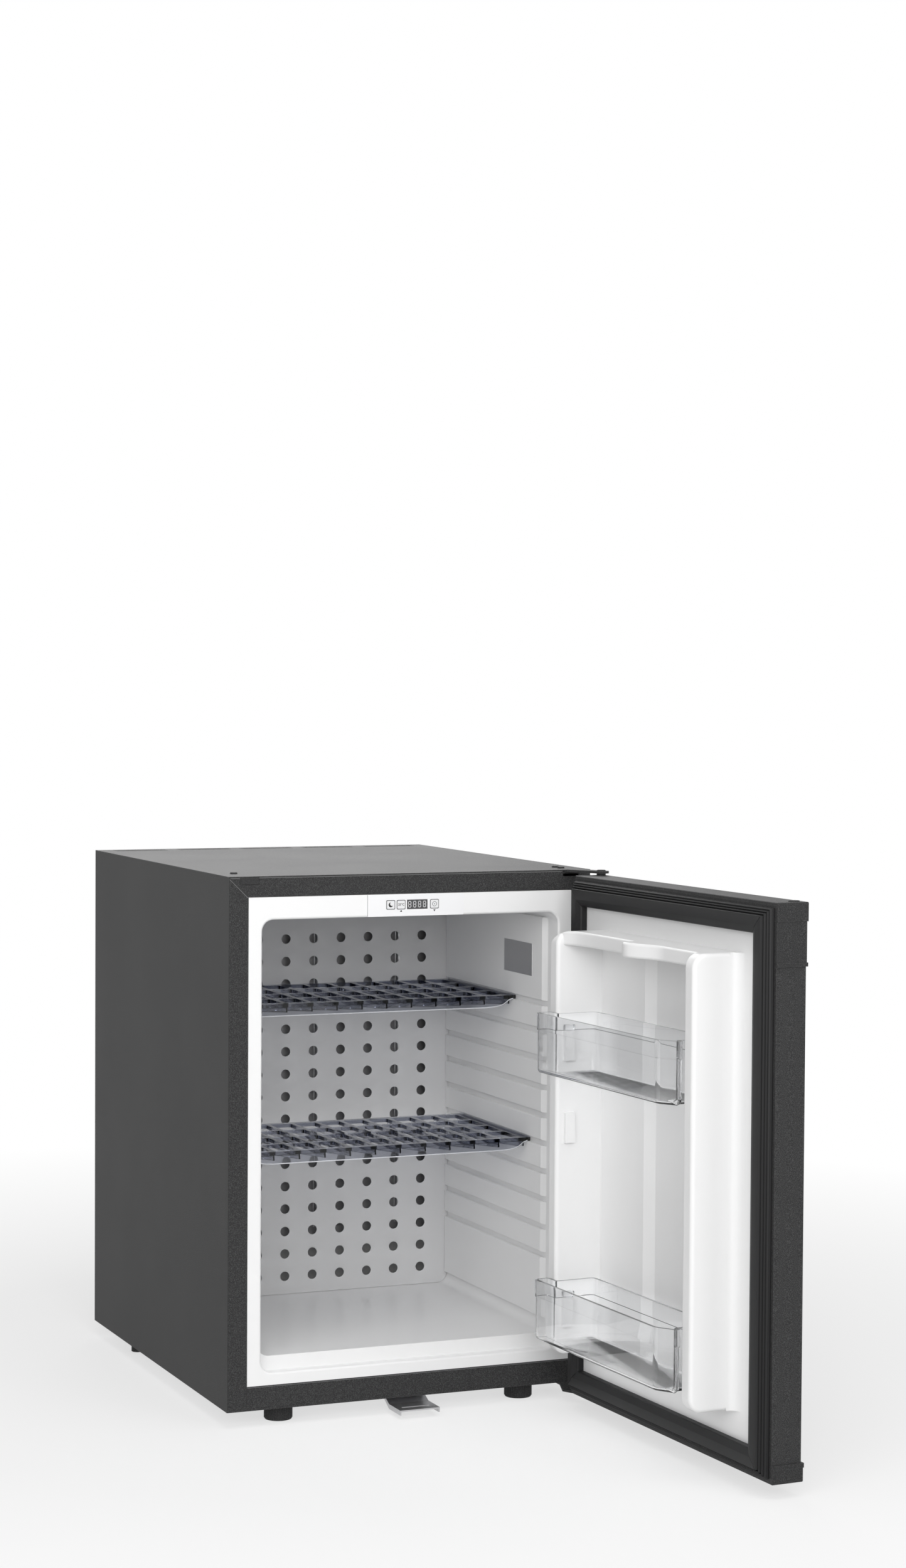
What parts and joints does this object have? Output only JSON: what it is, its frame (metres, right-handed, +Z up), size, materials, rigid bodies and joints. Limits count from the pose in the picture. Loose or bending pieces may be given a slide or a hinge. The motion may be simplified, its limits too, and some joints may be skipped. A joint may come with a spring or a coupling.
{
  "type": "minibar refrigerator",
  "caption": "Small refrigerator with an open, right-hinged door, clear shelves in a white compartment, clear door baskets and a control strip.",
  "frame": {"origin": "centre of the cabinet's underside", "axes": "+Z up, +X to the right seen from the front, +Y from the front to the back"},
  "size_m": [0.4194, 0.9112, 0.5612],
  "materials": {
    "dark_paint": "fine speckled satin",
    "plain_steel": "galvanised",
    "white_plastic": "gloss",
    "control_white": "gloss",
    "key_white": "satin",
    "dark_plastic": "fine grain",
    "cover_grey": "satin",
    "clear_shelf": "clear moulded",
    "clear_basket": "clear moulded",
    "clear_lens": "frosted",
    "display_glass": "gloss",
    "gasket_rubber": "satin",
    "aluminium": "mill",
    "foam": "cellular",
    "board_green": "solder mask",
    "compressor_paint": "satin",
    "copper": "bright",
    "black_rubber": "matte",
    "silver_plate": "brushed",
    "wire_paint": "gloss"
  },
  "bodies": {
    "cabinet": {"side_panel_left": "dark_paint", "side_panel_right": "dark_paint", "top_panel": "dark_paint", "top_rail": "dark_paint", "bottom_rail": "dark_paint", "base_panel": "plain_steel", "back_panel": "plain_steel", "top_screws": "dark_paint", "insulation_foam": "foam", "inner_liner": "white_plastic", "evaporator_cover": "cover_grey", "evaporator_plate": "aluminium", "evaporator_clips": "dark_plastic", "blank_plate": "silver_plate", "control_housing": "control_white", "display_window": "display_glass", "control_board": "board_green", "lamp_lens": "clear_lens", "top_hinge_plate": "dark_paint", "bottom_hinge_plate": "dark_paint", "hinge_pins": "dark_paint", "hinge_screws": "dark_paint", "hinge_slot_cover": "dark_plastic", "fixing_bracket": "plain_steel", "bracket_screws": "plain_steel", "foot_nuts": "plain_steel", "rear_feet": "dark_plastic", "condenser_tube": "wire_paint", "condenser_wires": "wire_paint", "condenser_clips": "dark_plastic", "compressor": "compressor_paint", "compressor_grommets": "black_rubber", "compressor_bolts": "plain_steel", "relay_cover": "dark_plastic", "filter_drier": "copper", "discharge_pipe": "copper", "suction_pipe": "copper", "drain_tube": "dark_plastic", "drip_tray": "dark_plastic", "power_box": "dark_plastic", "inlet_plate": "plain_steel", "mains_inlet": "dark_plastic"},
    "door": {"door_skin": "dark_paint", "door_top_cap": "dark_plastic", "door_bottom_cap": "dark_plastic", "door_grip": "dark_plastic", "door_foam": "foam", "door_liner": "white_plastic", "door_gasket": "gasket_rubber", "hinge_bushes": "dark_plastic", "door_plug": "dark_plastic"},
    "shelf_upper": {"shelf_upper": "clear_shelf"},
    "shelf_lower": {"shelf_lower": "clear_shelf"},
    "basket_upper": {"basket_upper": "clear_basket"},
    "basket_lower": {"basket_lower": "clear_basket"},
    "button_1": {"button_1": "key_white"},
    "button_2": {"button_2": "key_white"},
    "button_3": {"button_3": "key_white"},
    "foot_front_left": {"foot_front_left": "dark_plastic"},
    "foot_front_right": {"foot_front_right": "dark_plastic"}
  },
  "joints": [
    {"name": "door_hinge", "type": "hinge", "parent": "cabinet", "child": "door", "pos_m": [0.194, -0.27775, 0], "axis": [0, 0, 1], "range_deg": [-92.7, 57.3]},
    {"name": "shelf_upper_slide", "type": "slide", "parent": "cabinet", "child": "shelf_upper", "axis": [0, -1, 0], "range_m": [0, 0.13]},
    {"name": "shelf_lower_slide", "type": "slide", "parent": "cabinet", "child": "shelf_lower", "axis": [0, -1, 0], "range_m": [-0.041, 0.095]},
    {"name": "basket_upper_lift", "type": "slide", "parent": "door", "child": "basket_upper", "axis": [0, 0, 1], "range_m": [0, 0.03]},
    {"name": "basket_lower_lift", "type": "slide", "parent": "door", "child": "basket_lower", "axis": [0, 0, 1], "range_m": [0, 0.03]},
    {"name": "button_1_press", "type": "slide", "parent": "cabinet", "child": "button_1", "axis": [0, 1, 0], "range_m": [0, 0.0008], "stiffness_N_per_m": 300},
    {"name": "button_2_press", "type": "slide", "parent": "cabinet", "child": "button_2", "axis": [0, 1, 0], "range_m": [0, 0.0008], "stiffness_N_per_m": 300},
    {"name": "button_3_press", "type": "slide", "parent": "cabinet", "child": "button_3", "axis": [0, 1, 0], "range_m": [0, 0.0008], "stiffness_N_per_m": 300},
    {"name": "foot_left_screw", "type": "slide", "parent": "cabinet", "child": "foot_front_left", "axis": [0, 0, -1], "range_m": [0, 0.008]},
    {"name": "foot_right_screw", "type": "slide", "parent": "cabinet", "child": "foot_front_right", "axis": [0, 0, -1], "range_m": [0, 0.008]}
  ]
}
